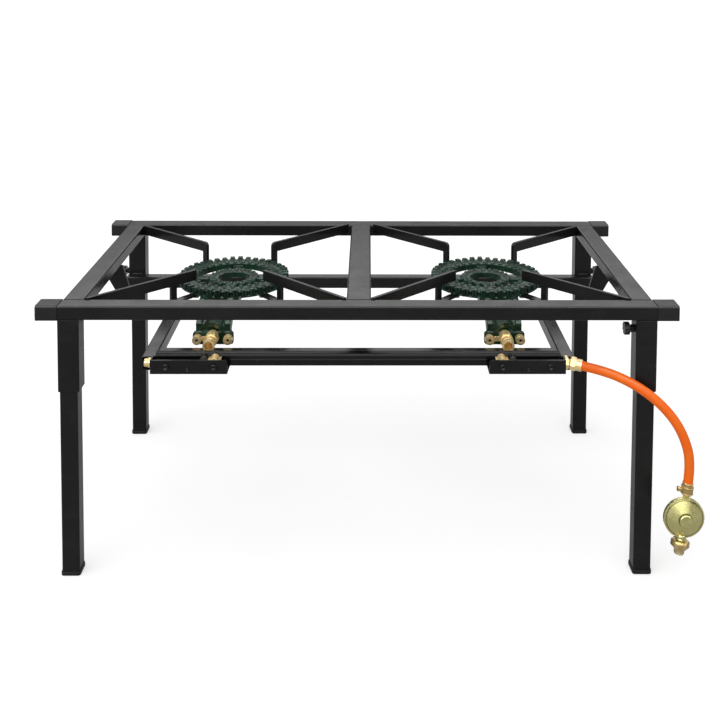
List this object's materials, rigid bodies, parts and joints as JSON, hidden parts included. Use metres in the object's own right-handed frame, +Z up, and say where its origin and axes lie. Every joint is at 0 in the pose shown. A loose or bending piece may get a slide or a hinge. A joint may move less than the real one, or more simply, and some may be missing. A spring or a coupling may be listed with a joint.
{
  "type": "boiling table",
  "caption": "Low black steel gas boiling table with cast green ring burners, adjustable legs, brass fittings and an orange hose with a regulator.",
  "frame": {"origin": "on the floor under the centre of the frame, legs fully in", "axes": "+X to the right seen from the front, +Y to the back, +Z up"},
  "size_m": [0.9274, 0.5045, 0.392],
  "materials": {
    "frame_black": "satin black powder coat",
    "cap_black": "black moulded cap, slight sheen",
    "knob_black": "black moulded knob",
    "cast_green": "dark green enamel on rough casting",
    "brass": "machined brass",
    "steel": "zinc plated",
    "hose_orange": "smooth orange gas hose",
    "regulator_gold": "olive gold passivated pressing"
  },
  "bodies": {
    "frame": {"front_rail": "frame_black", "rear_rail": "frame_black", "left_side_rail": "frame_black", "right_side_rail": "frame_black", "centre_bar": "frame_black", "socket_weld_nuts": "frame_black", "lower_front_tube": "frame_black", "lower_mid_tube": "frame_black", "rear_stretcher": "frame_black", "lower_left_rail": "frame_black", "lower_right_rail": "frame_black", "hanger_plates": "frame_black", "gas_rail": "frame_black", "left_tap_bracket": "frame_black", "right_tap_bracket": "frame_black", "front_left_leg_socket": "frame_black", "front_right_leg_socket": "frame_black", "rear_left_leg_socket": "frame_black", "rear_right_leg_socket": "frame_black", "left_front_outer_arm": "frame_black", "left_front_inner_arm": "frame_black", "left_rear_outer_arm": "frame_black", "left_rear_inner_arm": "frame_black", "right_front_outer_arm": "frame_black", "right_front_inner_arm": "frame_black", "right_rear_outer_arm": "frame_black", "right_rear_inner_arm": "frame_black", "rail_end_caps": "cap_black", "left_burner": "cast_green", "right_burner": "cast_green", "left_connector": "brass", "right_connector": "brass", "flange_bolts": "brass", "left_tap_body": "brass", "right_tap_body": "brass", "gas_rail_plug": "brass", "hose_inlet_fitting": "brass", "hose_union_nut": "brass", "hose_ferrule": "brass", "regulator_hose_tail": "brass", "burner_bolts": "steel", "gas_hose": "hose_orange", "regulator_body": "regulator_gold", "regulator_cover": "regulator_gold", "regulator_cap": "regulator_gold"},
    "front_left_leg": {"front_left_lower_leg": "frame_black", "front_left_foot_cap": "cap_black"},
    "front_right_leg": {"front_right_lower_leg": "frame_black", "front_right_foot_cap": "cap_black"},
    "rear_left_leg": {"rear_left_lower_leg": "frame_black", "rear_left_foot_cap": "cap_black"},
    "rear_right_leg": {"rear_right_lower_leg": "frame_black", "rear_right_foot_cap": "cap_black"},
    "front_left_screw": {"front_left_thumbscrew": "knob_black"},
    "front_right_screw": {"front_right_thumbscrew": "knob_black"},
    "rear_left_screw": {"rear_left_thumbscrew": "knob_black"},
    "rear_right_screw": {"rear_right_thumbscrew": "knob_black"},
    "left_spindle": {"left_tap_spindle": "brass"},
    "right_spindle": {"right_tap_spindle": "brass"},
    "inlet_swivel": {"inlet_nut": "brass"}
  },
  "joints": [
    {"name": "front_left_leg_slide", "type": "slide", "parent": "frame", "child": "front_left_leg", "axis": [0, 0, -1], "range_m": [0, 0.06]},
    {"name": "front_right_leg_slide", "type": "slide", "parent": "frame", "child": "front_right_leg", "axis": [0, 0, -1], "range_m": [0, 0.06]},
    {"name": "rear_left_leg_slide", "type": "slide", "parent": "frame", "child": "rear_left_leg", "axis": [0, 0, -1], "range_m": [0, 0.06]},
    {"name": "rear_right_leg_slide", "type": "slide", "parent": "frame", "child": "rear_right_leg", "axis": [0, 0, -1], "range_m": [0, 0.06]},
    {"name": "front_left_screw_turn", "type": "hinge", "parent": "frame", "child": "front_left_screw", "pos_m": [-0.405, -0.195, 0.354], "axis": [0, 1, 0], "range_deg": [0, 720]},
    {"name": "front_right_screw_turn", "type": "hinge", "parent": "frame", "child": "front_right_screw", "pos_m": [0.39, -0.21, 0.354], "axis": [-1, 0, 0], "range_deg": [0, 720]},
    {"name": "rear_left_screw_turn", "type": "hinge", "parent": "frame", "child": "rear_left_screw", "pos_m": [-0.42, 0.21, 0.301], "axis": [-1, 0, 0], "range_deg": [0, 720]},
    {"name": "rear_right_screw_turn", "type": "hinge", "parent": "frame", "child": "rear_right_screw", "pos_m": [0.42, 0.21, 0.301], "axis": [1, 0, 0], "range_deg": [0, 720]},
    {"name": "left_tap_turn", "type": "hinge", "parent": "frame", "child": "left_spindle", "pos_m": [-0.2065, -0.199, 0.2925], "axis": [0, -1, 0], "range_deg": [0, 90]},
    {"name": "right_tap_turn", "type": "hinge", "parent": "frame", "child": "right_spindle", "pos_m": [0.2065, -0.199, 0.2925], "axis": [0, -1, 0], "range_deg": [0, 90]},
    {"name": "inlet_nut_turn", "type": "hinge", "parent": "frame", "child": "inlet_swivel", "pos_m": [0.44571, -0.265, 0.07407], "axis": [-0.1045, 0, -0.9945], "continuous": true}
  ]
}
